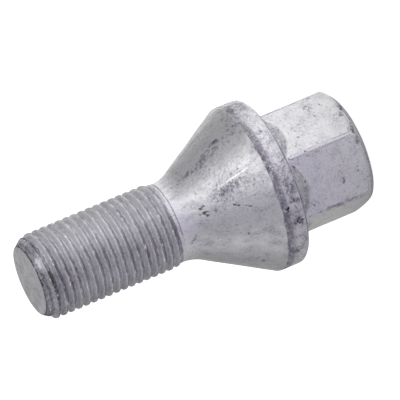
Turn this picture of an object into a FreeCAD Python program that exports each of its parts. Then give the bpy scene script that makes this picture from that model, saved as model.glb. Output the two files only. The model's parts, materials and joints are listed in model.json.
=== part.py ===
import FreeCAD, Part
import math
import os

# A forged wheel bolt in one piece: hexagon head, round collar with a cone seat, and a screwed shank.
# It stands on its head: the origin is the centre of the head's end face, and +Z runs to the tip.
# Sizes are in millimetres and angles in degrees.

# Hexagon head, for a 21 mm socket
HEX_ACROSS_FLATS = 20.7
HEX_EDGE_ROUND = 0.7
HEAD_HEIGHT = 16.15
END_CHAMFER_WIDTH = 2.35
END_CHAMFER_ANGLE = 40.0
END_FACE_ROUND = 1.5

# Forged root that spreads from the hexagon's flats to the back of the collar
ROOT_HEIGHT = 3.6
ROOT_ANGLE = 30.0
ROOT_FILLET = 1.6

# Collar and the cone that seats in the wheel
COLLAR_DIAMETER = 31.4
COLLAR_THICKNESS = 4.45
COLLAR_BACK_ROUND = 0.9
COLLAR_FRONT_ROUND = 0.8
SEAT_ANGLE = 60.0

# Shank, M16 x 1.5: its outside is the thread's crests, and the neck is the bare blank
THREAD_DIAMETER = 16.0
THREAD_PITCH = 1.5
THREAD_LENGTH = 26.3
SHANK_LENGTH = 30.1
NECK_FILLET = 7.0
RUNOUT_ANGLE = 30.0
TIP_CHAMFER_WIDTH = 1.55
TIP_CHAMFER_LENGTH = 2.0

# A 60 degree thread is rolled on a blank of its pitch diameter, this share of the pitch below the crests
BLANK_SHARE_OF_PITCH = 3 * math.sqrt(3) / 16
# A fillet takes at most this share of the flat that it runs out on
FILLET_SHARE_OF_WALL = 0.8
# How far a cutting form stands clear of what it trims
TRIM_CLEARANCE = 1.0
MATCH_TOLERANCE = 1e-6

UP = FreeCAD.Vector(0, 0, 1)
ORIGIN = FreeCAD.Vector(0, 0, 0)


def tangent(angle):
    return math.tan(math.radians(angle))


half_flats = HEX_ACROSS_FLATS / 2
corner_radius = half_flats / math.cos(math.radians(30))
root_radius = half_flats + ROOT_HEIGHT * tangent(ROOT_ANGLE)
collar_radius = COLLAR_DIAMETER / 2
thread_radius = THREAD_DIAMETER / 2
neck_radius = thread_radius - BLANK_SHARE_OF_PITCH * THREAD_PITCH
seat_slope = tangent(SEAT_ANGLE / 2)

seat_z = HEAD_HEIGHT + COLLAR_THICKNESS
neck_z = seat_z + (collar_radius - neck_radius) / seat_slope
tip_z = seat_z + (collar_radius - thread_radius) / seat_slope + SHANK_LENGTH
chamfer_z = tip_z - TIP_CHAMFER_LENGTH
thread_z = tip_z - THREAD_LENGTH
runout_z = thread_z - (thread_radius - neck_radius) / tangent(RUNOUT_ANGLE)


def turned(profile):
    """Solid of revolution about Z from a closed outline of (radius, height) corners."""
    corners = [FreeCAD.Vector(radius, 0, height) for radius, height in profile]
    outline = Part.makePolygon(corners + corners[:1])
    return Part.Face(outline).revolve(ORIGIN, UP, 360)


def is_ring(edge, radius, height):
    if edge.Curve.TypeId != "Part::GeomCircle":
        return False
    same_radius = abs(edge.Curve.Radius - radius) < MATCH_TOLERANCE
    return same_radius and abs(edge.Curve.Center.z - height) < MATCH_TOLERANCE


def round_ring(solid, radius, height, fillet):
    """Round the circular edge of a turned solid that lies at this radius and height."""
    ring = [edge for edge in solid.Edges if is_ring(edge, radius, height)]
    return solid.makeFillet(fillet, ring)


def collar_and_neck():
    """Root, collar, cone seat and the neck that carries on as the core of the thread."""
    root_start_z = HEAD_HEIGHT - ROOT_HEIGHT
    blank = turned([
        (0, root_start_z),
        (half_flats, root_start_z),
        (root_radius, HEAD_HEIGHT),
        (collar_radius, HEAD_HEIGHT),
        (collar_radius, seat_z),
        (neck_radius, neck_z),
        (neck_radius, chamfer_z),
        (0, chamfer_z),
    ])
    back_wall = collar_radius - COLLAR_BACK_ROUND - root_radius
    root_fillet = min(ROOT_FILLET, FILLET_SHARE_OF_WALL * back_wall)
    blank = round_ring(blank, root_radius, HEAD_HEIGHT, root_fillet)
    blank = round_ring(blank, collar_radius, HEAD_HEIGHT, COLLAR_BACK_ROUND)
    blank = round_ring(blank, collar_radius, seat_z, COLLAR_FRONT_ROUND)
    return round_ring(blank, neck_radius, neck_z, NECK_FILLET)


def thread_sleeve():
    """The thread's outside, from its run-out on the neck to the chamfered tip."""
    return turned([
        (0, runout_z),
        (neck_radius, runout_z),
        (thread_radius, thread_z),
        (thread_radius, chamfer_z),
        (thread_radius - TIP_CHAMFER_WIDTH, tip_z),
        (0, tip_z),
    ])


def is_upright(edge):
    return edge.tangentAt(edge.FirstParameter).isParallel(UP, MATCH_TOLERANCE)


def hexagon_bar():
    """Six-sided bar with its long edges rounded, as high as the head."""
    angles = [math.radians(60 * corner) for corner in range(7)]
    corners = [FreeCAD.Vector(corner_radius * math.cos(a), corner_radius * math.sin(a), 0) for a in angles]
    bar = Part.Face(Part.makePolygon(corners)).extrude(UP * HEAD_HEIGHT)
    long_edges = [edge for edge in bar.Edges if is_upright(edge)]
    return bar.makeFillet(HEX_EDGE_ROUND, long_edges)


def end_dome():
    """Turned blank whose chamfered, rounded end trims the corners of the hexagon."""
    end_radius = corner_radius - END_CHAMFER_WIDTH
    dome_radius = corner_radius + TRIM_CLEARANCE
    dome_z = (dome_radius - end_radius) * tangent(END_CHAMFER_ANGLE)
    dome = turned([
        (0, 0),
        (end_radius, 0),
        (dome_radius, dome_z),
        (dome_radius, HEAD_HEIGHT),
        (0, HEAD_HEIGHT),
    ])
    return round_ring(dome, end_radius, 0, END_FACE_ROUND)


head = hexagon_bar().common(end_dome())
bolt = head.fuse([collar_and_neck(), thread_sleeve()]).removeSplitter()

print("valid", bolt.isValid(), "solids", len(bolt.Solids), "volume", round(bolt.Volume, 1))
print("height", round(bolt.BoundBox.ZMax, 3), "thread", round(thread_z, 3), "to", round(chamfer_z, 3))

os.makedirs("parts", exist_ok=True)
bolt.exportStep("parts/wheel_bolt.step")
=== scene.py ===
# %% [markdown]
# # A forged wheel bolt
# This lesson dresses a wheel bolt that already exists as a plain solid. The solid is the fixed frame:
# it stands on its head at the origin, its shank points up along +Z, and every size below is tied to it.
# The bolt is one piece of steel, so it becomes one closed mesh with a fine thread and a worn zinc coat.

# %% Load the frame
import json
import math

import bmesh
import bpy
from mathutils import Matrix, Vector, noise


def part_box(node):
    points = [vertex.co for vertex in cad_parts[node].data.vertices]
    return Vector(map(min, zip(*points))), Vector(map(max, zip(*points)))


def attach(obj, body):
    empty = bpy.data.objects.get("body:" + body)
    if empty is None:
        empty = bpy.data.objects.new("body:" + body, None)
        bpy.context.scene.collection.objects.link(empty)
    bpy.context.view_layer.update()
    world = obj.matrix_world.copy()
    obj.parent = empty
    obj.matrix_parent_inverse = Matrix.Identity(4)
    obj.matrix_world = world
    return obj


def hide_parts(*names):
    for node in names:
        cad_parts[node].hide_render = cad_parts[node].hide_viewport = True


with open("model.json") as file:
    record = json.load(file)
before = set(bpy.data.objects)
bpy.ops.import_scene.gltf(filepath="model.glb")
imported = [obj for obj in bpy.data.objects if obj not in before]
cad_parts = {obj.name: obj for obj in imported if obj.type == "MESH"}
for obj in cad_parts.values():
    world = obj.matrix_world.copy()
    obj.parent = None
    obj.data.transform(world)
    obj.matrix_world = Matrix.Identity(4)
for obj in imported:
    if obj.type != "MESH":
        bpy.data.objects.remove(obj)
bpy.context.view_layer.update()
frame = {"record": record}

# %% [markdown]
# ## Sizes
# The mesh is built in millimetres, because a bolt's sizes are easy to read that way, and it is scaled to
# metres at the very end. The collar, the length and the thread come from the frame and its record.
# The other sizes repeat those of the solid, so that the dressed bolt and the solid are the same shape.

# %% Sizes of the bolt
MM = 0.001
_, solid_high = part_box("wheel_bolt")
mounts = {mount["name"]: mount for mount in frame["record"]["mounts"]}
COLLAR_RADIUS = solid_high.x / MM
TIP_Z = solid_high.z / MM
THREAD_RADIUS = mounts["thread"]["dims"]["r_mm"]

# A metric thread's depth, and how far its blank lies below the crests, are fixed shares of the pitch
PITCH = 1.5
BLANK_SHARE = 0.3248
DEPTH_SHARE = 0.6134
NECK_RADIUS = THREAD_RADIUS - BLANK_SHARE * PITCH
THREAD_ROOT = THREAD_RADIUS - DEPTH_SHARE * PITCH

# Columns of faces round the bolt: a multiple of six, so that each corner of the hexagon has its own
COLUMNS = 192
STEP_ANGLE = 2 * math.pi / COLUMNS
print("collar radius", round(COLLAR_RADIUS, 3), "length", round(TIP_Z, 3), "thread radius", THREAD_RADIUS)

# %% [markdown]
# ## The thread
# A rolled thread is pressed into the blank between two dies, which push the metal up into rounded crests
# and often leave a fine seam along the top of each crest. It could be a bump texture, but its outline
# shows against the background, so it is real geometry: one pitch of the profile is drawn as a short
# line, its corners are rounded by bevelling the points, and `spin` with a small lift at each step turns
# the line into a screw. Each turn ends where the next begins, so merging doubles joins them.

# %% Draw one pitch of the thread
ROOT_FLAT = 0.40
CREST_FLAT = 0.30
SEAM_DEPTH = 0.07
ROOT_BEVEL = 0.13
CREST_BEVEL = 0.07
CORNER_STEPS = 2
ROUND_PROFILE = 0.5
THREAD_START_Z = 34.875


def draw_line(mesh, corners):
    """A chain of edges through (radius, height) corners in the XZ plane; returns its points."""
    points = [mesh.verts.new((radius, 0, height)) for radius, height in corners]
    for pair in zip(points, points[1:]):
        mesh.edges.new(pair)
    return points


def round_point(mesh, point, width, steps):
    """Replace a corner of a line by an arc that starts this far along its edges."""
    bmesh.ops.bevel(
        mesh, geom=[point], affect='VERTICES', offset=width, segments=steps, profile=ROUND_PROFILE,
        material=-1,
    )


screw = bmesh.new()
crest_z = THREAD_START_Z + PITCH / 2
next_z = THREAD_START_Z + PITCH
thread_line = draw_line(screw, [
    (THREAD_ROOT, THREAD_START_Z),
    (THREAD_ROOT, THREAD_START_Z + ROOT_FLAT / 2),
    (THREAD_RADIUS, crest_z - CREST_FLAT / 2),
    (THREAD_RADIUS - SEAM_DEPTH, crest_z),
    (THREAD_RADIUS, crest_z + CREST_FLAT / 2),
    (THREAD_ROOT, next_z - ROOT_FLAT / 2),
    (THREAD_ROOT, next_z),
])
for index, width in ((1, ROOT_BEVEL), (2, CREST_BEVEL), (4, CREST_BEVEL), (5, ROOT_BEVEL)):
    round_point(screw, thread_line[index], width, CORNER_STEPS)
print("points in one pitch", len(screw.verts))

# %% Screw the line up the shank
MERGE_DISTANCE = 0.01
turns = math.ceil((TIP_Z - THREAD_START_Z) / PITCH)
bmesh.ops.spin(
    screw, geom=screw.verts[:] + screw.edges[:], axis=(0, 0, 1), dvec=(0, 0, PITCH / COLUMNS),
    angle=2 * math.pi, steps=COLUMNS,
)
first_turn = screw.verts[:] + screw.edges[:] + screw.faces[:]
for turn in range(1, turns):
    copied = bmesh.ops.duplicate(screw, geom=first_turn)["geom"]
    points = [item for item in copied if isinstance(item, bmesh.types.BMVert)]
    bmesh.ops.translate(screw, vec=(0, 0, turn * PITCH), verts=points)
bmesh.ops.remove_doubles(screw, verts=screw.verts, dist=MERGE_DISTANCE)
print("turns", turns, "faces", len(screw.faces))

# %% [markdown]
# ## The ends of the thread
# The dies run out towards the neck, so the grooves get shallower there until only the round blank is
# left, and the tip was chamfered before rolling, so the crests come down to the end face. A boolean with
# a cone would leave slivers along the helix, so both are made by moving points in or out along their
# radius. Two cuts with `bisect_plane` then trim the screw square.

# %% Fade the thread into the neck and chamfer the tip
NECK_CUT_Z = 36.78
RUNOUT_LENGTH = 1.9
TIP_CHAMFER_WIDTH = 1.55
TIP_CHAMFER_LENGTH = 2.0
TIP_BLEND = 0.16


def smooth_step(value, start, end):
    """Nought at the start, one at the end, and a smooth rise between them."""
    share = min(1.0, max(0.0, (value - start) / (end - start)))
    return share * share * (3 - 2 * share)


def smooth_min(a, b, blend):
    """The lesser of two lengths, with the corner between them rounded over the blend."""
    overlap = max(0.0, blend - abs(a - b)) / blend
    return min(a, b) - overlap * overlap * blend / 4


def smooth_max(a, b, blend):
    return -smooth_min(-a, -b, blend)


tip_radius = THREAD_RADIUS - TIP_CHAMFER_WIDTH


def chamfer_radius(height):
    return tip_radius + (TIP_Z - height) * TIP_CHAMFER_WIDTH / TIP_CHAMFER_LENGTH


for point in screw.verts:
    rolled = smooth_step(point.co.z, NECK_CUT_Z, NECK_CUT_Z + RUNOUT_LENGTH)
    radius = NECK_RADIUS + (point.co.xy.length - NECK_RADIUS) * rolled
    radius = smooth_min(radius, chamfer_radius(point.co.z), TIP_BLEND)
    point.co.xy = point.co.xy.normalized() * radius
print("neck radius", round(NECK_RADIUS, 3), "tip radius", round(tip_radius, 3))

# %% Trim the screw square at both ends
TIP_CUT_DEPTH = 0.45
TIP_CUT_Z = TIP_Z - TIP_CUT_DEPTH
CUT_TOLERANCE = 1e-4
CUT_SNAP = 1e-5


def angle_of(place):
    return math.atan2(place.y, place.x)


def trim_square(mesh, height, outward):
    """Cut square across the axis, drop what lies outward, and weld the cut ring to one point a column."""
    bmesh.ops.bisect_plane(
        mesh, geom=mesh.verts[:] + mesh.edges[:] + mesh.faces[:], dist=CUT_SNAP,
        plane_co=(0, 0, height), plane_no=(0, 0, outward), clear_outer=True,
    )
    columns = {}
    for point in mesh.verts:
        if abs(point.co.z - height) < CUT_TOLERANCE:
            turn = angle_of(point.co) / STEP_ANGLE
            columns.setdefault(round(turn) % COLUMNS, []).append((abs(turn - round(turn)), point))
    welds = {}
    for found in columns.values():
        found.sort(key=lambda entry: entry[0])
        welds.update({extra: found[0][1] for _, extra in found[1:]})
    bmesh.ops.weld_verts(mesh, targetmap=welds)
    return len(columns)


tip_ring = trim_square(screw, TIP_CUT_Z, outward=1)
neck_ring = trim_square(screw, NECK_CUT_Z, outward=-1)
print("points on the tip ring", tip_ring, "and on the neck ring", neck_ring)

# %% [markdown]
# ## The turned blank
# Neck, cone seat, collar and the blank of the head are all round, and so is the sheared face of the tip.
# Stacked cones and cylinders would need their fillets added at each joint, so these are two half outlines,
# spun a full turn. Only their corners are written down. Each fillet is a point bevel whose width is worked
# out from the fillet's radius, and long edges are then divided, so that later steps have points to move.
# The outlines start on the two rings that the cuts left.

# %% Corners of the half outlines
HEX_ACROSS_FLATS = 20.7
HEAD_HEIGHT = 16.15
END_CHAMFER_WIDTH = 2.35
END_CHAMFER_ANGLE = math.radians(40)
END_FACE_ROUND = 1.5
ROOT_HEIGHT = 3.6
ROOT_ANGLE = math.radians(30)
ROOT_FILLET = 1.6
COLLAR_THICKNESS = 4.45
COLLAR_BACK_ROUND = 0.9
COLLAR_FRONT_ROUND = 0.8
SEAT_HALF_ANGLE = math.radians(30)
NECK_FILLET = 7.0
TIP_RIM_ROUND = 0.2
DOME_CLEARANCE = 1.0
ROOT_SINK = 0.8
HEX_SIDES = 6
SIXTH = 2 * math.pi / HEX_SIDES

half_flats = HEX_ACROSS_FLATS / 2
corner_radius = half_flats / math.cos(SIXTH / 2)
root_radius = half_flats + ROOT_HEIGHT * math.tan(ROOT_ANGLE)
sunk_radius = half_flats - ROOT_SINK
sunk_z = HEAD_HEIGHT - (root_radius - sunk_radius) / math.tan(ROOT_ANGLE)
seat_z = HEAD_HEIGHT + COLLAR_THICKNESS
neck_z = seat_z + (COLLAR_RADIUS - NECK_RADIUS) / math.tan(SEAT_HALF_ANGLE)
end_radius = corner_radius - END_CHAMFER_WIDTH
dome_radius = corner_radius + DOME_CLEARANCE
dome_z = (dome_radius - end_radius) * math.tan(END_CHAMFER_ANGLE)

# Each corner has its radius, its height and the radius of its fillet
head_outline = [
    (NECK_RADIUS, NECK_CUT_Z, 0),
    (NECK_RADIUS, neck_z, NECK_FILLET),
    (COLLAR_RADIUS, seat_z, COLLAR_FRONT_ROUND),
    (COLLAR_RADIUS, HEAD_HEIGHT, COLLAR_BACK_ROUND),
    (root_radius, HEAD_HEIGHT, ROOT_FILLET),
    (sunk_radius, sunk_z, 0),
    (dome_radius, dome_z, 0),
    (end_radius, 0, END_FACE_ROUND),
    (0, 0, 0),
]
tip_outline = [
    (chamfer_radius(TIP_CUT_Z), TIP_CUT_Z, 0),
    (tip_radius, TIP_Z, TIP_RIM_ROUND),
    (0, TIP_Z, 0),
]
print("cone from", round(seat_z, 2), "to", round(neck_z, 2), "head chamfer up to", round(dome_z, 2))

# %% Round the outlines, divide them and spin them
FILLET_STEPS = 8
FINE_SPACING = 0.14
PLAIN_SPACING = 0.33
FACE_SPACING = 0.8


def fillet_width(before, corner, after, radius):
    """How far along its edges a corner is bevelled to give a fillet of this radius."""
    turn = (corner - before).angle(after - corner)
    return radius * math.tan(turn / 2)


def row_spacing(edge):
    """Rows are wide on the end faces, and close on the head's chamfer, which the hexagon's edges cross."""
    low, high = sorted(point.co.z for point in edge.verts)
    if high - low < CUT_TOLERANCE and (low < CUT_TOLERANCE or high > TIP_CUT_Z):
        return FACE_SPACING
    return FINE_SPACING if high <= dome_z else PLAIN_SPACING


blank = bmesh.new()
for outline in (head_outline, tip_outline):
    places = [Vector((radius, height)) for radius, height, _ in outline]
    line = draw_line(blank, places)
    for index, (_, _, fillet) in enumerate(outline):
        if fillet:
            width = fillet_width(*places[index - 1:index + 2], fillet)
            round_point(blank, line[index], width, FILLET_STEPS)
for edge in blank.edges[:]:
    cuts = int(edge.calc_length() / row_spacing(edge))
    if cuts:
        bmesh.ops.subdivide_edges(blank, edges=[edge], cuts=cuts)
print("rows in the outlines", len(blank.verts))
bmesh.ops.spin(
    blank, geom=blank.verts[:] + blank.edges[:], axis=(0, 0, 1), angle=2 * math.pi, steps=COLUMNS,
    use_merge=True,
)

# %% Join the blank and the screw into one closed mesh
bolt = bmesh.new()
for part in (blank, screw):
    carrier = bpy.data.meshes.new("carrier")
    part.to_mesh(carrier)
    part.free()
    bolt.from_mesh(carrier)
    bpy.data.meshes.remove(carrier)
bmesh.ops.remove_doubles(bolt, verts=bolt.verts, dist=MERGE_DISTANCE)
bmesh.ops.recalc_face_normals(bolt, faces=bolt.faces)
open_edges = sum(len(edge.link_faces) != 2 for edge in bolt.edges)
print("faces", len(bolt.faces), "open edges", open_edges)

# %% [markdown]
# ## Pressing the hexagon
# The head is forged: dies press the round blank into a hexagon, while its chamfered end and the sloping
# root under the collar keep their turned form. The mesh does the same. Each point of the head goes to
# the hexagon's wall, or stays on the turned form where that cuts deeper or stands prouder, with a soft
# blend where the two meet. The columns first slide towards the six corners, so that the rounded edges
# have enough of them. A boolean would give the same solid, but with ragged faces along those edges.

# %% Press the head
HEX_EDGE_ROUND = 0.7
CHAMFER_BLEND = 0.7
ROOT_BLEND = 0.12
COLUMN_SLIDE = 0.55

root_turn = math.radians(90) - ROOT_ANGLE
root_end_radius = root_radius + ROOT_FILLET * math.tan(root_turn / 2)
back_radius = COLLAR_RADIUS - COLLAR_BACK_ROUND


def hexagon_radius(angle):
    """Distance from the axis to the wall of a hexagon with rounded corners, one of them on +X."""
    from_corner = abs((angle + SIXTH / 2) % SIXTH - SIXTH / 2)
    round_centre = (half_flats - HEX_EDGE_ROUND) / math.cos(SIXTH / 2)
    offset = round_centre * math.sin(from_corner)
    on_round = round_centre * math.cos(from_corner) + math.sqrt(max(0.0, HEX_EDGE_ROUND ** 2 - offset ** 2))
    on_flat = half_flats / math.cos(SIXTH / 2 - from_corner)
    return on_round if offset < HEX_EDGE_ROUND * math.sin(SIXTH / 2 - from_corner) else on_flat


def press(point):
    """Move a point of the turned blank to the forged head."""
    turned = point.co.xy.length
    height = point.co.z
    angle = angle_of(point.co)
    flat_back = height > HEAD_HEIGHT - CUT_TOLERANCE
    slide = smooth_step(turned, back_radius, root_end_radius) if flat_back else 1.0
    angle -= slide * COLUMN_SLIDE * math.sin(HEX_SIDES * angle) / HEX_SIDES
    wall = hexagon_radius(angle)
    if height >= sunk_z:
        radius = smooth_max(turned, wall, ROOT_BLEND)
    elif height >= dome_z:
        radius = wall
    else:
        radius = smooth_min(turned, wall, CHAMFER_BLEND)
    point.co.xy = radius * math.cos(angle), radius * math.sin(angle)


below_collar = [point for point in bolt.verts if point.co.z < HEAD_HEIGHT + CUT_TOLERANCE]
head = [point for point in below_collar if point.co.xy.length < back_radius]
for point in head:
    press(point)
print("points pressed", len(head))

# %% [markdown]
# ## The forged skin
# Hot forging and tumbling leave a skin that is never quite even: broad shallow hills, a wandering edge
# where the cone meets the rim, and a few dents from other bolts in the bin. A bump texture could draw
# them, but they should also bend the outline and the reflections, so they are moved points. Every move
# goes inwards or along the skin, so the bolt never grows out of the solid's box.

# %% Let the edge between cone and rim wander
EDGE_WANDER = 0.25
EDGE_WAVE = 2.2
EDGE_REACH = 1.1


def edge_offset(angle):
    """How far the edge between cone and rim strays along the axis at this angle."""
    place = Vector((math.cos(angle), math.sin(angle), 0)) * COLLAR_RADIUS / EDGE_WAVE
    return EDGE_WANDER * noise.noise(place)


rim = [point for point in bolt.verts if point.co.xy.length > back_radius]
for point in rim:
    reach = smooth_step(abs(point.co.z - seat_z), EDGE_REACH, 0)
    point.co.z += reach * edge_offset(angle_of(point.co))
print("points on the rim", len(rim))

# %% Press shallow hills and dents into the skin
SKIN_DEPTH = 0.06
SKIN_PATCH = 3.5
THREAD_SKIN_SHARE = 0.2

# Each dent has its angle in degrees, its height, its radius and its depth
DENTS = [
    (-29, 0.9, 0.8, 0.14),
    (-37, 1.6, 0.7, 0.12),
    (-58, 1.3, 0.9, 0.16),
    (-101, 6.2, 0.7, 0.08),
    (-76, 32.2, 0.6, 0.05),
    (-103, 17.7, 0.9, 0.08),
    (95, 4.0, 0.9, 0.12),
    (163, 18.5, 1.0, 0.10),
]


def bearing(degrees):
    """A level arrow of length one at this angle round the axis."""
    angle = math.radians(degrees)
    return Vector((math.cos(angle), math.sin(angle), 0))


def skin_point(angle, height, radius):
    """The mesh point nearest to this angle, at most half a radius above or below this height."""
    toward = bearing(angle).xy
    near = [point for point in bolt.verts if abs(point.co.z - height) < radius / 2]
    return max(near, key=lambda point: point.co.xy.normalized() @ toward).co.copy()


dents = [(skin_point(*dent[:3]), dent[2], dent[3]) for dent in DENTS]


def sink(point):
    """How deep a point lies below the plain skin."""
    hill = 0.5 + 0.5 * noise.noise(point.co / SKIN_PATCH)
    share = 1 if point.co.z < NECK_CUT_Z else THREAD_SKIN_SHARE
    depth = SKIN_DEPTH * share * hill
    for centre, radius, dent_depth in dents:
        depth += dent_depth * smooth_step((point.co - centre).length, radius, 0)
    return depth


bolt.normal_update()
moves = [(point, -sink(point) * point.normal) for point in bolt.verts]
for point, move in moves:
    point.co += move
print("deepest move", round(max(move.length for _, move in moves), 3), "mm")

# %% [markdown]
# ## Notes for the coat
# Wear and shade follow the form: edges are rubbed, the corner behind the cone and the root under the collar
# get painted shade, and each crest of the thread has its rolling seam and two flanks, one with painted
# light and one with painted shade.
# Masks for them could be painted, but every change to the form would spoil them. The mesh knows where
# those places are, so each point keeps a few numbers as attributes, and the materials read them.
# Curvature is the angle between neighbouring faces divided by the distance between their middles. The
# place within one pitch follows from a point's height and its angle round the axis.

# %% Make room for the notes
edge_layer = bolt.verts.layers.float.new("edge")
crease_shade_layer = bolt.verts.layers.float.new("crease_shade")
crest_layer = bolt.verts.layers.float.new("crest_gap")
flank_light_and_shade_layer = bolt.verts.layers.float.new("flank_light_and_shade")
root_shade_layer = bolt.verts.layers.float.new("root")
print("notes", bolt.verts.layers.float.keys())

# %% Note the edges
EDGE_CURVATURE = (0.35, 1.2)


def curvature(edge):
    one, other = edge.link_faces
    gap = (one.calc_center_median() - other.calc_center_median()).length
    return edge.calc_face_angle_signed(0) / max(gap, MERGE_DISTANCE)


bolt.normal_update()
bends = dict.fromkeys(bolt.verts, 0.0)
for edge in bolt.edges:
    bend = curvature(edge) / 2
    for point in edge.verts:
        bends[point] += bend
for point in bolt.verts:
    point[edge_layer] = smooth_step(bends[point], *EDGE_CURVATURE)
print("sharpest bend", round(max(bends.values()), 2), "per mm")

# %% Note the creases
CREASE_FRONT = 0.5
CREASE_BACK = 2.4
# The painted shade in the seat crease is faint at the first angle and full past the second
CREASE_ANGLES = (math.radians(-15), math.radians(-45))
CREASE_FAINT = 0.4
RUNOUT_LINE = 0.3
RUNOUT_SHARE = 0.5
BACK_LINE = 0.45
TIP_LINE = 0.4

back_inset = (1 - math.sqrt(0.5)) * COLLAR_BACK_ROUND
back_corner = Vector((COLLAR_RADIUS - back_inset, HEAD_HEIGHT + back_inset))
tip_corner = Vector((tip_radius, TIP_Z))


def seat_crease_shade(place):
    """One on the line between cone and rim, and less towards both sides of it."""
    if place.xy.length < back_radius:
        return 0
    angle = angle_of(place)
    past_edge = place.z - seat_z - edge_offset(angle)
    shade_share = smooth_step(angle, *CREASE_ANGLES)
    reach = CREASE_FRONT if past_edge > 0 else -CREASE_BACK
    return (CREASE_FAINT + (1 - CREASE_FAINT) * shade_share) * smooth_step(past_edge, reach, 0)


def crease_shade(place):
    """The strongest of the four lines that get painted shade."""
    runout_line = RUNOUT_SHARE * smooth_step(abs(place.z - NECK_CUT_Z), RUNOUT_LINE, 0)
    ring = Vector((place.xy.length, place.z))
    back_line = smooth_step((ring - back_corner).length, BACK_LINE, 0)
    tip_line = smooth_step((ring - tip_corner).length, TIP_LINE, 0)
    return max(seat_crease_shade(place), runout_line, back_line, tip_line)


for point in bolt.verts:
    point[crease_shade_layer] = crease_shade(point.co)
print("points in creases", sum(point[crease_shade_layer] > 0 for point in bolt.verts))

# %% Note the place in the pitch and the root
ROOT_PROUD = (0.0, 0.3)

for point in bolt.verts:
    angle = angle_of(point.co)
    phase = (point.co.z - THREAD_START_Z) / PITCH - angle / (2 * math.pi)
    point[crest_layer] = abs(phase % 1 - 0.5) * PITCH
    below_chamfer = smooth_step(point.co.z, TIP_Z, TIP_Z - TIP_CHAMFER_LENGTH)
    # Positive on the flanks that face the tip and negative on those that face the head, for painted light
    # and painted shade
    point[flank_light_and_shade_layer] = -below_chamfer * math.sin(2 * math.pi * phase)
    # The root under the collar is noted for painted shade
    if sunk_z < point.co.z < HEAD_HEIGHT + CUT_TOLERANCE:
        proud = point.co.xy.length - hexagon_radius(angle)
        point[root_shade_layer] = smooth_step(proud, *ROOT_PROUD)
print("points on the root", sum(point[root_shade_layer] > 0 for point in bolt.verts))

# %% [markdown]
# ## Five finishes on one piece
# One coat covers the whole bolt, but the steel under it differs: the head and rim are forged, the cone
# and neck were pressed smooth, the end face was sheared, and the thread was rolled. Five objects would
# break the smooth shading where they meet, so it stays one mesh, and each face gets the number of its
# finish. The edge between cone and rim is also the border between two of them.

# %% Number the finishes
HEAD, RIM, CONE, TIP, THREAD = FINISHES = range(5)
FACING_UP = 0.9


def finish_of(face):
    centre = face.calc_center_median()
    if centre.z > TIP_CUT_Z and face.normal.z > FACING_UP:
        return TIP
    if centre.z > NECK_CUT_Z:
        return THREAD
    if centre.z > seat_z + edge_offset(angle_of(centre)):
        return CONE
    return HEAD if centre.xy.length < back_radius else RIM


for face in bolt.faces:
    face.material_index = finish_of(face)
numbers = [face.material_index for face in bolt.faces]
print("faces of each finish", [numbers.count(finish) for finish in FINISHES])

# %% [markdown]
# ## One piece in the frame
# The mesh is done, so it is scaled to metres and becomes an object at the origin, where the solid is. It
# rides on the frame's only body and takes the solid's place in the picture.
# Smooth shading suits it, because every edge was rounded with real faces.

# %% The finished piece
def make_object(mesh, name):
    """Turn a bmesh into an object at the origin."""
    data = bpy.data.meshes.new(name)
    mesh.to_mesh(data)
    mesh.free()
    data.shade_smooth()
    made = bpy.data.objects.new(name, data)
    bpy.context.scene.collection.objects.link(made)
    return made


bmesh.ops.scale(bolt, vec=(MM, MM, MM), verts=bolt.verts)
bolt_piece = make_object(bolt, "forged_bolt")
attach(bolt_piece, "root")
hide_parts("wheel_bolt")
triangles = sum(len(face.vertices) - 2 for face in bolt_piece.data.polygons)
print("triangles", triangles)

# %% [markdown]
# ## Shader helpers
# A zinc-flake coat is a dull metallic paint: tiny zinc leaves in a grey binder. Its colour runs on one
# line, from nearly black in a pit over lavender grey to almost white where the flakes lie flat. So each
# material works out one number, the tone, and a colour ramp turns it into the colour. Effects that more
# than one finish uses are node groups, which only put out numbers that change over the surface.

# %% Helpers for nodes and groups
FLOAT = 'NodeSocketFloat'
VECTOR = 'NodeSocketVector'


def add(tree, kind, inputs, **settings):
    """A new node; each input is a value or the output of another node."""
    made = tree.nodes.new(kind)
    for name, value in settings.items():
        setattr(made, name, value)
    for name, value in inputs.items():
        if isinstance(value, bpy.types.NodeSocket):
            tree.links.new(value, made.inputs[name])
        else:
            made.inputs[name].default_value = value
    return made


def math_node(tree, operation, *values):
    return add(tree, 'ShaderNodeMath', dict(enumerate(values)), operation=operation).outputs[0]


def vector_node(tree, operation, *values):
    """A vector operation; lengths and dot products come out as a number, the others as a vector."""
    made = add(tree, 'ShaderNodeVectorMath', dict(enumerate(values)), operation=operation)
    return made.outputs["Value" if operation in ('LENGTH', 'DOT_PRODUCT') else "Vector"]


def map_range(tree, value, start, end, low=0.0, high=1.0):
    """Low at the start, high at the end, and a smooth step between them."""
    inputs = {"Value": value, "From Min": start, "From Max": end, "To Min": low, "To Max": high}
    return add(tree, 'ShaderNodeMapRange', inputs, interpolation_type='SMOOTHSTEP').outputs[0]


def cloud(tree, position, scale, detail, **inputs):
    """The outputs of a noise texture; its values scatter round one half."""
    inputs.update(Vector=position, Scale=scale, Detail=detail)
    return add(tree, 'ShaderNodeTexNoise', inputs).outputs


def start_group(name, inputs, outputs):
    """A node group with named sockets; returns its tree, what it is given and what it puts out."""
    tree = bpy.data.node_groups.new(name, 'ShaderNodeTree')
    for socket, kind in inputs.items():
        tree.interface.new_socket(socket, in_out='INPUT', socket_type=kind)
    for socket in outputs:
        tree.interface.new_socket(socket, in_out='OUTPUT', socket_type=FLOAT)
    return tree, tree.nodes.new('NodeGroupInput').outputs, tree.nodes.new('NodeGroupOutput').inputs


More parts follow.
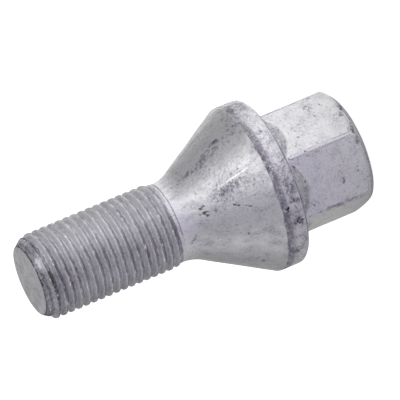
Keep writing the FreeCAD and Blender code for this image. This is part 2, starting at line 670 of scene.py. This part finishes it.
# %% [markdown]
# ### Mottle, pits and marks
# The mottle is two layers of noise: broad patches where the coat is thicker or thinner, and the fine
# grain of the flakes. Pits are bent Voronoi cells, of which only a share holds a spot. Strokes are short
# hair scratches: the line where a noise passes through its mean, kept only in some places. A mark is one
# place on the bolt, an ellipsoid with a ragged border where the photo shows a smear, pit or scratch.
# Most marks are smears, pits or scratches, and a few are painted highlights and painted shade.

# %% Group for the mottle
PATCH_DETAIL = 5.0
GRAIN_DETAIL = 2.0
MOTTLE_ROUGHNESS = 0.6
# Nearly all values of a noise lie between these two
NOISE_SPREAD = (0.3, 0.7)

mottle, given, result = start_group(
    "flake mottle", {"Position": VECTOR, "Patch Size": FLOAT, "Grain Size": FLOAT}, ["Patches", "Grain"],
)
for layer, size, detail in (("Patches", "Patch Size", PATCH_DETAIL), ("Grain", "Grain Size", GRAIN_DETAIL)):
    scale = math_node(mottle, 'DIVIDE', 1.0, given[size])
    field = cloud(mottle, given["Position"], scale, detail, Roughness=MOTTLE_ROUGHNESS)[0]
    mottle.links.new(map_range(mottle, field, *NOISE_SPREAD, -1.0, 1.0), result[layer])
print("group", mottle.name, "with", len(mottle.nodes), "nodes")

# %% Group for the pits
PIT_BEND = 0.8
BEND_SCALE = 2.2
BEND_DETAIL = 3.0
PIT_REACH = (0.15, 0.45)
PIT_BORDER = (0.4, 1.0)

pits, given, result = start_group("pits", {"Position": VECTOR, "Spacing": FLOAT, "Share": FLOAT}, ["Pits"])
bend = cloud(pits, given["Position"], BEND_SCALE, BEND_DETAIL)["Color"]
bent = vector_node(pits, 'MULTIPLY_ADD', bend, (PIT_BEND,) * 3, given["Position"])
scale = math_node(pits, 'DIVIDE', 1.0, given["Spacing"])
cells = add(pits, 'ShaderNodeTexVoronoi', {"Vector": bent, "Scale": scale}).outputs
dice = add(pits, 'ShaderNodeSeparateColor', {"Color": cells["Color"]}).outputs
chosen = math_node(pits, 'LESS_THAN', dice["Red"], given["Share"])
reach = map_range(pits, dice["Green"], 0.0, 1.0, *PIT_REACH)
distance = math_node(pits, 'DIVIDE', cells["Distance"], reach)
spot = map_range(pits, distance, *PIT_BORDER, 1.0, 0.0)
pits.links.new(math_node(pits, 'MULTIPLY', chosen, spot), result["Pits"])
print("group", pits.name, "with", len(pits.nodes), "nodes")

# %% Group for the strokes
STROKE_WIDTH = 0.035
STROKE_DETAIL = 3.0
SIEVE_DETAIL = 2.0
SIEVE_BLEND = 0.06
NOISE_MEAN = 0.5
ELSEWHERE = (31.0, 17.0, 5.0)

strokes, given, result = start_group(
    "strokes", {"Position": VECTOR, "Spacing": FLOAT, "Share": FLOAT}, ["Strokes"],
)
scale = math_node(strokes, 'DIVIDE', 1.0, given["Spacing"])
field = cloud(strokes, given["Position"], scale, STROKE_DETAIL)[0]
off_mean = math_node(strokes, 'ABSOLUTE', math_node(strokes, 'SUBTRACT', field, NOISE_MEAN))
line = map_range(strokes, off_mean, 0.0, STROKE_WIDTH, 1.0, 0.0)
moved = vector_node(strokes, 'ADD', given["Position"], ELSEWHERE)
sieve = cloud(strokes, moved, scale, SIEVE_DETAIL)[0]
over = math_node(strokes, 'SUBTRACT', given["Share"], sieve)
kept = map_range(strokes, over, 0.0, SIEVE_BLEND)
strokes.links.new(math_node(strokes, 'MULTIPLY', line, kept), result["Strokes"])
print("group", strokes.name, "with", len(strokes.nodes), "nodes")

# %% Group for a mark
FRAY_SCALE = 1.8
CRUMB_SCALE = 1.4
MARK_DETAIL = 5.0
MARK_BORDER = (0.35, 1.0)
CRUMB_BORDER = (0.45, 0.58)

mark_group, given, result = start_group("mark", {
    "Position": VECTOR, "Centre": VECTOR, "Turn": VECTOR, "Size": VECTOR, "Ragged": FLOAT, "Broken": FLOAT,
}, ["Mark"])
local = add(mark_group, 'ShaderNodeMapping', {
    "Vector": given["Position"], "Location": given["Centre"], "Rotation": given["Turn"],
    "Scale": given["Size"],
}, vector_type='TEXTURE').outputs[0]
distance = vector_node(mark_group, 'LENGTH', local)
fray = cloud(mark_group, given["Position"], FRAY_SCALE, MARK_DETAIL)[0]
strayed = math_node(mark_group, 'SUBTRACT', fray, NOISE_MEAN)
frayed = math_node(mark_group, 'MULTIPLY_ADD', strayed, given["Ragged"], distance)
whole = map_range(mark_group, frayed, *MARK_BORDER, 1.0, 0.0)
apart = vector_node(mark_group, 'SUBTRACT', given["Position"], given["Centre"])
crumbs = cloud(mark_group, apart, CRUMB_SCALE, MARK_DETAIL)[0]
gaps = map_range(mark_group, crumbs, *CRUMB_BORDER, 1.0, 0.0)
hole = math_node(mark_group, 'MULTIPLY', gaps, given["Broken"])
left = math_node(mark_group, 'SUBTRACT', 1.0, hole)
mark_group.links.new(math_node(mark_group, 'MULTIPLY', whole, left), result["Mark"])
print("group", mark_group.name, "with", len(mark_group.nodes), "nodes")

# %% [markdown]
# ### Placing a mark on the skin
# A mark is written down by its angle round the axis, its height, and how far it is turned away from the
# axis. A painted texture would need the bolt unwrapped, while this needs only a ray from the axis outwards
# that finds the skin. The mark's length then lies along the skin, and its shade says how much it darkens
# or brightens the tone.

# %% Place marks
MARK_DEPTH = 1.5


def skin_frame(angle, height, turn):
    """Place and rotation on the skin, with X along the mark and Z out of the skin."""
    _, place, normal, _ = bolt_piece.ray_cast(Vector((0, 0, height * MM)), bearing(angle))
    along = (Vector((0, 0, 1)) - normal * normal.z).normalized()
    along.rotate(Matrix.Rotation(math.radians(turn), 3, normal))
    axes = Matrix((along, normal.cross(along), normal)).transposed()
    return place / MM, axes.to_euler()


def use(tree, group, inputs):
    """Place a node group; returns its outputs."""
    return add(tree, 'ShaderNodeGroup', inputs, node_tree=group).outputs


def place_mark(tree, position, angle, height, turn, length, width, ragged, broken):
    """The mask of one mark."""
    place, turned = skin_frame(angle, height, turn)
    return use(tree, mark_group, {
        "Position": position, "Centre": place, "Turn": turned, "Size": (length / 2, width / 2, MARK_DEPTH),
        "Ragged": ragged, "Broken": broken,
    })["Mark"]


def shift(tree, tone, mask, shade):
    """Move the tone by a shade where the mask is."""
    return math_node(tree, 'MULTIPLY_ADD', mask, shade, tone)


def add_marks(tree, position, tone, marks):
    """Shift the tone at each (angle, height, turn, length, width, ragged, broken, shade)."""
    for *form, shade in marks:
        tone = shift(tree, tone, place_mark(tree, position, *form), shade)
    return tone


# %% [markdown]
# ### From tone to metal
# Every finish starts from the same position in millimetres and ends in the same way. The ramp gives the
# colour, rubbed places are smoother than dull ones, and the grain and the pits also tilt the surface a
# little through a bump node. The coat conducts, so it is nearly all metal to the shader.

# %% Start and end of a coat
METALLIC = 0.9
RAMP = [
    (0.00, (0.030, 0.029, 0.033, 1)),
    (0.30, (0.300, 0.290, 0.328, 1)),
    (0.50, (0.560, 0.553, 0.578, 1)),
    (0.75, (0.700, 0.697, 0.708, 1)),
    (1.00, (0.900, 0.900, 0.897, 1)),
]
ROUGH_DULL = 0.66
ROUGH_RUBBED = 0.36
ROUGH_TONES = (0.2, 0.8)


def start_coat(name):
    """A new material; returns its tree and the position on the bolt in millimetres."""
    coat = bpy.data.materials.new(name)
    coat.use_nodes = True
    tree = coat.node_tree
    place = add(tree, 'ShaderNodeTexCoord', {}).outputs["Object"]
    bolt_piece.data.materials.append(coat)
    return tree, vector_node(tree, 'MULTIPLY', place, (1 / MM,) * 3)


def attribute(tree, name):
    return add(tree, 'ShaderNodeAttribute', {}, attribute_name=name).outputs["Fac"]


def crease_shade_mask(tree, stray, amount, reach):
    """The painted shade in the creases, with a border that strays by this amount."""
    strayed = math_node(tree, 'MULTIPLY_ADD', stray, amount, attribute(tree, "crease_shade"))
    return map_range(tree, strayed, *reach)


def shift_all(tree, tone, shades, masks):
    """Move the tone by the shade of each effect where its mask is."""
    for effect, mask in masks.items():
        tone = shift(tree, tone, mask, shades[effect])
    return tone


def finish_coat(tree, tone, relief, relief_depth, metallic=METALLIC):
    """Turn the tone into colour and roughness, and the relief into a bump."""
    shader = tree.nodes["Principled BSDF"]
    shader.inputs["Metallic"].default_value = metallic
    ramp = add(tree, 'ShaderNodeValToRGB', {"Fac": tone})
    stops = ramp.color_ramp.elements
    for place, _ in RAMP[1:-1]:
        stops.new(place)
    for stop, (place, colour) in zip(stops, RAMP):
        stop.position = place
        stop.color = colour
    tree.links.new(ramp.outputs["Color"], shader.inputs["Base Color"])
    rough = map_range(tree, tone, *ROUGH_TONES, ROUGH_DULL, ROUGH_RUBBED)
    tree.links.new(rough, shader.inputs["Roughness"])
    bump = add(tree, 'ShaderNodeBump', {"Height": relief, "Distance": relief_depth * MM})
    tree.links.new(bump.outputs["Normal"], shader.inputs["Normal"])


# %% [markdown]
# ### Forged finish: head and rim
# Scale from the hot dies was blasted off before coating, which leaves a coarse, grainy skin with fine
# hair scratches. Along both borders of each rounded edge of the hexagon the coat is worn through in a
# broken dark line: the edge attribute passes one half there. The corner behind the cone and the root
# under the collar get painted shade, two marks on the rim are painted highlights, and the socket has left
# dings near the head's end. The rim is the coarser of the two.

# %% Marks on the head and the rim
# Each mark has its angle, height, turn, length, width, raggedness, gaps and shade
HEAD_MARKS = [
    (-14, 6.2, 20, 3.0, 2.2, 3.0, 0.8, -0.12),
    (-34, 6.6, 60, 1.2, 0.9, 3.0, 0.3, -0.14),
    (-28, 1.0, 70, 1.8, 1.0, 3.0, 0.2, -0.28),
    (-36, 1.7, 70, 1.8, 0.8, 3.0, 0.2, -0.26),
    (-57, 1.6, 70, 2.8, 1.2, 3.0, 0.2, -0.28),
    (-69, 1.7, 70, 2.6, 1.1, 3.0, 0.2, -0.24),
    (-101, 6.2, 67, 1.7, 1.0, 3.0, 0.2, -0.30),
    (-84, 6.0, 40, 1.0, 0.8, 3.0, 0.4, -0.18),
    (-85, 13.2, 30, 0.9, 0.6, 2.0, 0.0, -0.28),
    (-119, 8.6, 0, 9.0, 1.3, 3.0, 0.5, -0.17),
]
RIM_MARKS = [
    (-9, 20.1, 85, 8.0, 1.8, 3.0, 0.5, -0.20),
    (-3, 18.6, 80, 8.0, 4.6, 2.0, 0.3, -0.14),
    # The next two marks are painted highlights on the rim's side towards the key lamp
    (-30, 18.0, 80, 11.0, 3.0, 3.0, 0.5, 0.14),
    (-52, 18.6, 80, 9.0, 2.4, 3.0, 1.0, 0.16),
    (-68, 18.0, 80, 6.0, 2.6, 3.0, 0.8, -0.12),
    (-82, 17.8, 70, 5.0, 2.4, 3.0, 0.4, -0.16),
    (-93, 19.5, 60, 1.1, 0.9, 3.0, 0.0, -0.30),
    (-89, 17.5, -60, 2.0, 1.3, 2.0, 0.0, -0.22),
    (-104, 17.7, -60, 2.4, 1.4, 2.0, 0.0, -0.28),
    (-100, 18.6, 80, 6.0, 2.6, 3.0, 0.3, -0.12),
    (-129, 19.0, 80, 2.4, 1.4, 2.0, 0.0, -0.22),
]
print("marks on the head", len(HEAD_MARKS), "and on the rim", len(RIM_MARKS))

# %% Forged coat
FORGED_GRAIN = 0.36
FORGED_PITS = {"Spacing": 0.9, "Share": 0.12}
FORGED_HAIRS = {"Spacing": 0.9, "Share": 0.44}
EDGE_MIDDLE = 0.5
EDGE_BORDER = (0.2, 0.5)
WORN_REACH = (-0.5, 0.7)
FORGED_STRAY = 0.22
FORGED_CREASE = (0.25, 0.6)


def forged_coat(name, marks, base_tone, patch_size, relief_depth, shades):
    """A material for forged skin; the shades say how far each effect moves the tone."""
    tree, position = start_coat(name)
    layers = use(tree, mottle, {"Position": position, "Patch Size": patch_size, "Grain Size": FORGED_GRAIN})
    patches, grain = layers["Patches"], layers["Grain"]
    spots = use(tree, pits, {"Position": position, **FORGED_PITS})["Pits"]
    hairs = use(tree, strokes, {"Position": position, **FORGED_HAIRS})["Strokes"]
    broken = math_node(tree, 'ADD', patches, grain)
    border = math_node(tree, 'ABSOLUTE', math_node(tree, 'SUBTRACT', attribute(tree, "edge"), EDGE_MIDDLE))
    line = map_range(tree, border, *EDGE_BORDER, 1.0, 0.0)
    worn = math_node(tree, 'MULTIPLY', line, map_range(tree, broken, *WORN_REACH))
    tone = shift_all(tree, base_tone, shades, {
        "patches": patches, "grain": grain, "pits": spots, "hairs": hairs, "worn edge": worn,
        "crease_shade": crease_shade_mask(tree, broken, FORGED_STRAY, FORGED_CREASE), "root": attribute(tree, "root"),
    })
    tone = add_marks(tree, position, tone, marks)
    finish_coat(tree, tone, math_node(tree, 'SUBTRACT', grain, spots), relief_depth)


# In both forged coats the crease and root entries are painted shade
forged_coat("head_coat", HEAD_MARKS, base_tone=0.54, patch_size=2.2, relief_depth=0.012, shades={
    "patches": 0.06, "grain": 0.07, "pits": -0.20, "hairs": -0.20,
    "worn edge": -0.25, "crease_shade": -0.20, "root": -0.14,
})
forged_coat("rim_coat", RIM_MARKS, base_tone=0.48, patch_size=1.3, relief_depth=0.045, shades={
    "patches": 0.11, "grain": 0.08, "pits": -0.13, "hairs": -0.13,
    "worn edge": -0.08, "crease_shade": -0.20, "root": -0.14,
})
print("forged finishes", bolt_piece.data.materials.keys())

# %% [markdown]
# ### Pressed finish: cone, neck and end face
# The cone was pressed smooth and then slid against other bolts in the barrel, which drew dark smears and
# one bright scratch along its slope. The patches are stretched along the axis for the same reason. A long
# dark band beside the highlight is a painted dark reflection mixed with smears, and two broad marks are a
# painted highlight. The end face was sheared off the bar and is plainer, and its tone is painted a little
# darker as painted shade.

# %% Marks on the cone
CONE_MARKS = [
    (-12, 21.6, 85, 10.0, 2.6, 3.0, 0.6, -0.17),
    # The next three marks make a long dark band beside the highlight: a painted dark reflection mixed with
    # smears
    (-25, 24.5, 0, 6.0, 4.0, 3.0, 0.8, -0.10),
    (-24, 27.0, 1, 20.0, 5.0, 3.0, 0.5, 0.03),
    (-25, 26.5, 3, 15.0, 3.4, 3.0, 0.5, -0.15),
    (-20, 25.6, -6, 3.0, 0.9, 3.0, 0.2, -0.22),
    (-23, 27.9, 0, 2.6, 1.4, 3.0, 0.5, -0.18),
    (-25, 32.0, 4, 4.0, 1.1, 3.0, 0.4, -0.20),
    (-30, 29.5, 12, 6.0, 2.4, 3.0, 0.9, -0.16),
    (-57, 25.3, 5, 8.4, 0.34, 1.4, 0.2, 0.40),
    # The next two marks are a painted highlight where the key lamp's highlight falls
    (-43, 27.5, 0, 18.0, 7.0, 3.0, 0.6, 0.06),
    (-49, 23.3, 10, 6.0, 5.0, 3.0, 0.5, 0.04),
    (-70, 32.4, 12, 1.3, 0.7, 3.0, 0.0, -0.36),
    (-76, 32.2, 12, 1.6, 0.8, 3.0, 0.0, -0.40),
    (-80, 31.9, 20, 0.8, 0.6, 2.5, 0.0, -0.30),
    (-79, 30.3, -20, 1.2, 0.5, 2.5, 0.2, -0.24),
    (-84, 32.5, 30, 2.8, 1.6, 3.0, 0.7, -0.14),
    (-106, 35.0, 45, 2.8, 0.9, 2.5, 0.2, -0.20),
    (-66, 27.0, 10, 8.0, 5.6, 3.0, 0.6, -0.22),
    (-79, 27.1, -30, 1.7, 0.45, 2.0, 0.0, -0.28),
    (-83, 25.2, -30, 1.9, 0.45, 2.0, 0.0, -0.26),
    (-107, 26.5, 20, 0.8, 0.6, 2.5, 0.0, -0.26),
    (-109, 31.2, -20, 1.0, 0.5, 2.5, 0.0, -0.22),
    (-140, 24.3, 60, 1.6, 0.9, 3.0, 0.2, -0.24),
]
# The side of the cone with the most hair scratches, written like a mark but without a shade
SCUFFED = (-31, 26.5, 0, 20.0, 16.0, 2.0, 0.0)
print("marks on the cone", len(CONE_MARKS))

# %% Pressed coat
DRAWN_OUT = (1.0, 1.0, 0.35)
PRESSED_SIZES = {"Patch Size": 1.8, "Grain Size": 0.42}
PRESSED_PITS = {"Spacing": 0.9, "Share": 0.14}
# The crease entry is painted shade in the creases
PRESSED_SHADES = {"grain": 0.045, "pits": -0.15, "hairs": -0.16, "crease_shade": -0.10}
HAIR_SPACING = 0.9
SCUFF_SHARE = 0.12
PRESSED_STRAY = 0.3
PRESSED_CREASE = (0.6, 1.2)


def pressed_coat(name, marks, base_tone, patch_shade, hair_share, relief_depth):
    """A material for pressed or sheared metal; the hair share says how many scratches it has."""
    tree, position = start_coat(name)
    drawn = vector_node(tree, 'MULTIPLY', position, DRAWN_OUT)
    patches = use(tree, mottle, {"Position": drawn, **PRESSED_SIZES})["Patches"]
    grain = use(tree, mottle, {"Position": position, **PRESSED_SIZES})["Grain"]
    spots = use(tree, pits, {"Position": position, **PRESSED_PITS})["Pits"]
    scuffed = place_mark(tree, position, *SCUFFED)
    share = math_node(tree, 'MULTIPLY_ADD', scuffed, SCUFF_SHARE, hair_share)
    hairs = use(tree, strokes, {"Position": position, "Spacing": HAIR_SPACING, "Share": share})["Strokes"]
    tone = shift_all(tree, base_tone, {"patches": patch_shade, **PRESSED_SHADES}, {
        "patches": patches, "grain": grain, "pits": spots, "hairs": hairs,
        "crease_shade": crease_shade_mask(tree, grain, PRESSED_STRAY, PRESSED_CREASE),
    })
    tone = add_marks(tree, position, tone, marks)
    finish_coat(tree, tone, math_node(tree, 'SUBTRACT', grain, spots), relief_depth)


pressed_coat(
    "cone_coat", CONE_MARKS, base_tone=0.535, patch_shade=0.10, hair_share=0.42, relief_depth=0.012,
)
# The end face's lower base tone is painted shade
pressed_coat("tip_coat", [], base_tone=0.49, patch_shade=0.05, hair_share=0.38, relief_depth=0.010)
print("forged and pressed finishes", bolt_piece.data.materials.keys())

# %% [markdown]
# ### Rolled finish: the thread
# The coat lies thick in the grooves, so the thread is duller than the rest and less like bare metal. The
# metal that was pushed up from both sides meets on the crest in a fine dark seam, and beside it short
# bright dashes are painted glints. The flanks that face the tip get painted light, and those that face the
# head get painted shade. Noise that is drawn out round the shank makes each turn a little different. The
# side of the shank towards the key lamp gets painted light, the next one painted shade, and the last
# turns before the tip are darker.

# %% Seam, painted glints and flanks of the thread
ROLLED = (0.3, 0.3, 1.0)
THREAD_PATCH = 1.3
THREAD_STREAK = 0.3
THREAD_GRAIN = 0.24
THREAD_PITS = {"Spacing": 0.6, "Share": 0.18}
GLINT_PITS = {"Spacing": 0.4, "Share": 0.60}
SEAM_WIDTH = 0.14
GLINT_REACH = (0.12, 0.30)
FLANK_LIGHT_REACH = (0.0, 0.8)
FLANK_SHADE_REACH = (-0.9, 0.1)

tree, position = start_coat("thread_coat")
rolled = vector_node(tree, 'MULTIPLY', position, ROLLED)
drawn = use(tree, mottle, {"Position": rolled, "Patch Size": THREAD_PATCH, "Grain Size": THREAD_STREAK})
fine = use(tree, mottle, {"Position": position, "Patch Size": THREAD_PATCH, "Grain Size": THREAD_GRAIN})
spots = use(tree, pits, {"Position": position, **THREAD_PITS})["Pits"]
glint_spots = use(tree, pits, {"Position": rolled, **GLINT_PITS})["Pits"]
gap = attribute(tree, "crest_gap")
seam = map_range(tree, gap, 0.0, SEAM_WIDTH, 1.0, 0.0)
off_seam = math_node(tree, 'SUBTRACT', 1.0, seam)
beside = math_node(tree, 'MULTIPLY', map_range(tree, gap, *GLINT_REACH, 1.0, 0.0), off_seam)
# Painted glints in short dashes beside the seam
crest_glints = math_node(tree, 'MULTIPLY', beside, glint_spots)
flank = attribute(tree, "flank_light_and_shade")
# Painted light on the flanks that face the tip, and painted shade on those that face the head
tip_flank_light = map_range(tree, flank, *FLANK_LIGHT_REACH)
head_flank_shade = map_range(tree, flank, *FLANK_SHADE_REACH, 1.0, 0.0)
print("nodes for the thread so far", len(tree.nodes))

# %% Rolled coat
THREAD_TONE = 0.36
THREAD_RELIEF = 0.015
THREAD_METALLIC = 0.35
# The crease entry is painted shade along the run-out and on the tip's rim
THREAD_SHADES = {
    "patches": 0.07, "streaks": 0.08, "grain": 0.09, "pits": -0.14, "seam": -0.12,
    "tip flank light": 0.20, "head flank shade": -0.11, "crest_glints": 1.00, "crease_shade": -0.24,
}
# Each side has the way it faces, the distances between which it grows, and its shade
SIDES = [
    # Painted light on the side towards the key lamp
    (bearing(-36), 5.2, 7.7, 0.08),
    # Painted shade on the next side
    (bearing(-86), 6.4, 7.8, -0.07),
    # Darker towards the tip
    (Vector((0, 0, 1)), 56.0, 62.5, -0.08),
]
THREAD_MARKS = [
    (-25, 63.0, 90, 6.0, 2.4, 1.5, 0.0, -0.16),
    # A painted highlight on the tip's chamfer
    (-52, 63.1, 90, 2.6, 1.2, 1.5, 0.0, 0.24),
    (-85, 62.8, 90, 9.0, 2.8, 1.5, 0.0, -0.12),
]

tone = shift_all(tree, THREAD_TONE, THREAD_SHADES, {
    "patches": drawn["Patches"], "streaks": drawn["Grain"], "grain": fine["Grain"], "pits": spots,
    "seam": seam, "tip flank light": tip_flank_light, "head flank shade": head_flank_shade, "crest_glints": crest_glints,
    "crease_shade": attribute(tree, "crease_shade"),
})
for facing, start, end, shade in SIDES:
    distance = vector_node(tree, 'DOT_PRODUCT', position, facing)
    tone = shift(tree, tone, map_range(tree, distance, start, end), shade)
tone = add_marks(tree, position, tone, THREAD_MARKS)
relief = math_node(tree, 'SUBTRACT', fine["Grain"], spots)
finish_coat(tree, tone, relief, THREAD_RELIEF, THREAD_METALLIC)
print("all finishes", bolt_piece.data.materials.keys())

# %% [markdown]
# ## Floor
# The bolt stands on a wide pale sheet that glows a little, as a lit sweep does. A dull metal shows what
# it reflects, so the sheet is brighter on the lamp's side, faintly lavender in front and dark under the
# head, while the camera sees one even white. That is what the Light Path node is for: it tells a camera
# ray from all the others.

# %% Floor
FLOOR_HALF = 3.0

floor_mesh = bmesh.new()
bmesh.ops.create_grid(floor_mesh, x_segments=1, y_segments=1, size=FLOOR_HALF)
floor = make_object(floor_mesh, "studio_floor")
print("floor", tuple(floor.dimensions))

# %% Finish of the floor
FLOOR_GLOW = 0.85
FLOOR_FINISH = {
    "Base Color": (0.8, 0.8, 0.8, 1), "Roughness": 0.9, "Specular IOR Level": 0.0, "Emission Strength": 1.0,
}
# Each glow has the direction it lies in, the distances between which it grows, and its colour
GLOWS = [
    ((1.0, 0.6, 0.0), -0.025, 0.03, (1.06, 1.06, 1.03)),
    ((-1.0, 0.5, 0.0), 0.0, 0.04, (0.22, 0.22, 0.19)),
    ((0.2, -1.0, 0.0), 0.01, 0.04, (0.20, 0.17, 0.30)),
]
SHADED_RADIUS = 0.0098
LIT_RADIUS = 0.0125
SHADE = 0.3

pale = bpy.data.materials.new("pale_floor")
pale.use_nodes = True
tree = pale.node_tree
shader = tree.nodes["Principled BSDF"]
for name, value in FLOOR_FINISH.items():
    shader.inputs[name].default_value = value
place = add(tree, 'ShaderNodeTexCoord', {}).outputs["Object"]
glow = (0.0, 0.0, 0.0)
for direction, start, end, colour in GLOWS:
    share = map_range(tree, vector_node(tree, 'DOT_PRODUCT', place, direction), start, end)
    glow = vector_node(tree, 'MULTIPLY_ADD', share, colour, glow)
away = vector_node(tree, 'LENGTH', place)
light = map_range(tree, away, SHADED_RADIUS, LIT_RADIUS, SHADE, 1.0)
glow = vector_node(tree, 'MULTIPLY', glow, light)
seen = add(tree, 'ShaderNodeLightPath', {}).outputs["Is Camera Ray"]
chosen = add(tree, 'ShaderNodeMix', {"Factor": seen, "A": glow, "B": (FLOOR_GLOW,) * 3}, data_type='VECTOR')
tree.links.new(chosen.outputs["Result"], shader.inputs["Emission Color"])
floor.data.materials.append(pale)
print("glows on the floor", len(GLOWS))

# %% [markdown]
# ## Light
# A tent of white cloth gives soft light from all round. A surrounding picture could do the rest, but each
# softbox can be moved and dimmed by itself. One in front on the lamp's side makes the long highlight on
# the cone, and a weak one beside it widens that. A lavender one beside the camera tints what faces it, two
# more lift the shaded side and the far outline, and one above the tip lights the flanks that face it.

# %% World
TENT_LIGHT = 0.29
TENT_SEEN = 1.05

world = bpy.data.worlds.new("soft_tent")
bpy.context.scene.world = world
world.use_nodes = True
tree = world.node_tree
background = tree.nodes["Background"]
background.inputs["Color"].default_value = (1, 1, 1, 1)
seen = add(tree, 'ShaderNodeLightPath', {}).outputs["Is Camera Ray"]
strength = math_node(tree, 'MULTIPLY_ADD', seen, TENT_SEEN - TENT_LIGHT, TENT_LIGHT)
tree.links.new(strength, background.inputs["Strength"])
print("world", world.name, "of strength", TENT_LIGHT)

# %% Lamps
LAMP_DISTANCE = 0.6
LAMP_SIZE = 0.4
MIDDLE = Vector((0, 0, TIP_Z * MM / 2))


def softbox(name, azimuth, elevation, power, colour=(1, 1, 1)):
    """A square soft light at this bearing that looks at the middle of the bolt."""
    elevation = math.radians(elevation)
    toward = bearing(azimuth) * math.cos(elevation) + Vector((0, 0, math.sin(elevation)))
    data = bpy.data.lights.new(name, 'AREA')
    data.shape = 'SQUARE'
    data.size = LAMP_SIZE
    data.energy = power
    data.color = colour
    lamp = bpy.data.objects.new(name, data)
    lamp.location = MIDDLE + toward * LAMP_DISTANCE
    lamp.rotation_euler = toward.to_track_quat('Z', 'Y').to_euler()
    bpy.context.scene.collection.objects.link(lamp)
    print("softbox", name, "of", power, "W")


softbox("key", azimuth=-42, elevation=30, power=1.06)
softbox("key_edge", azimuth=-6, elevation=35, power=0.12)
softbox("camera_side", azimuth=-95, elevation=10, power=0.36, colour=(0.76, 0.70, 1.0))
softbox("shaded_side", azimuth=200, elevation=25, power=0.36)
softbox("back", azimuth=95, elevation=25, power=0.30)
softbox("tip_side", azimuth=-60, elevation=75, power=0.40)

# %% [markdown]
# ## Camera
# The photo shows the bolt lying, but the frame stands it on its head, so the camera is rolled instead.
# Its bearing, height and roll were found by fitting the bolt's outline to the photo. It keeps its
# distance and lens, and is moved sideways in its own plane until the bolt sits where the photo has it.

# %% Camera
AZIMUTH = math.radians(19.35)
ELEVATION = math.radians(16.49)
ROLL = math.radians(112.77)
DISTANCE = 1.1296
PIXELS_PER_METRE = 5626
IMAGE_SIZE = 400
SENSOR = 36
CLIP_END = 20
AIM_Z = 0.031315
AIM_PIXEL = (193.75, 212.0)

ahead = Vector((math.sin(AZIMUTH), -math.cos(AZIMUTH), 0))
toward = math.cos(ELEVATION) * ahead + Vector((0, 0, math.sin(ELEVATION)))
level = Vector((math.cos(AZIMUTH), math.sin(AZIMUTH), 0))
upright = toward.cross(level)
across = math.cos(ROLL) * level - math.sin(ROLL) * upright
above = math.sin(ROLL) * level + math.cos(ROLL) * upright
camera_data = bpy.data.cameras.new("camera")
camera_data.sensor_width = SENSOR
camera_data.lens = PIXELS_PER_METRE * DISTANCE / IMAGE_SIZE * SENSOR
camera_data.clip_end = CLIP_END
camera = bpy.data.objects.new("camera", camera_data)
bpy.context.scene.collection.objects.link(camera)
right_shift = (IMAGE_SIZE / 2 - AIM_PIXEL[0]) / PIXELS_PER_METRE
up_shift = (AIM_PIXEL[1] - IMAGE_SIZE / 2) / PIXELS_PER_METRE
place = Vector((0, 0, AIM_Z)) + toward * DISTANCE + across * right_shift + above * up_shift
camera.matrix_world = Matrix.Translation(place) @ Matrix((across, above, toward)).transposed().to_4x4()
bpy.context.scene.camera = camera
bpy.context.scene.view_settings.view_transform = 'Standard'
print("lens", round(camera_data.lens), "mm at", [round(c, 3) for c in place])
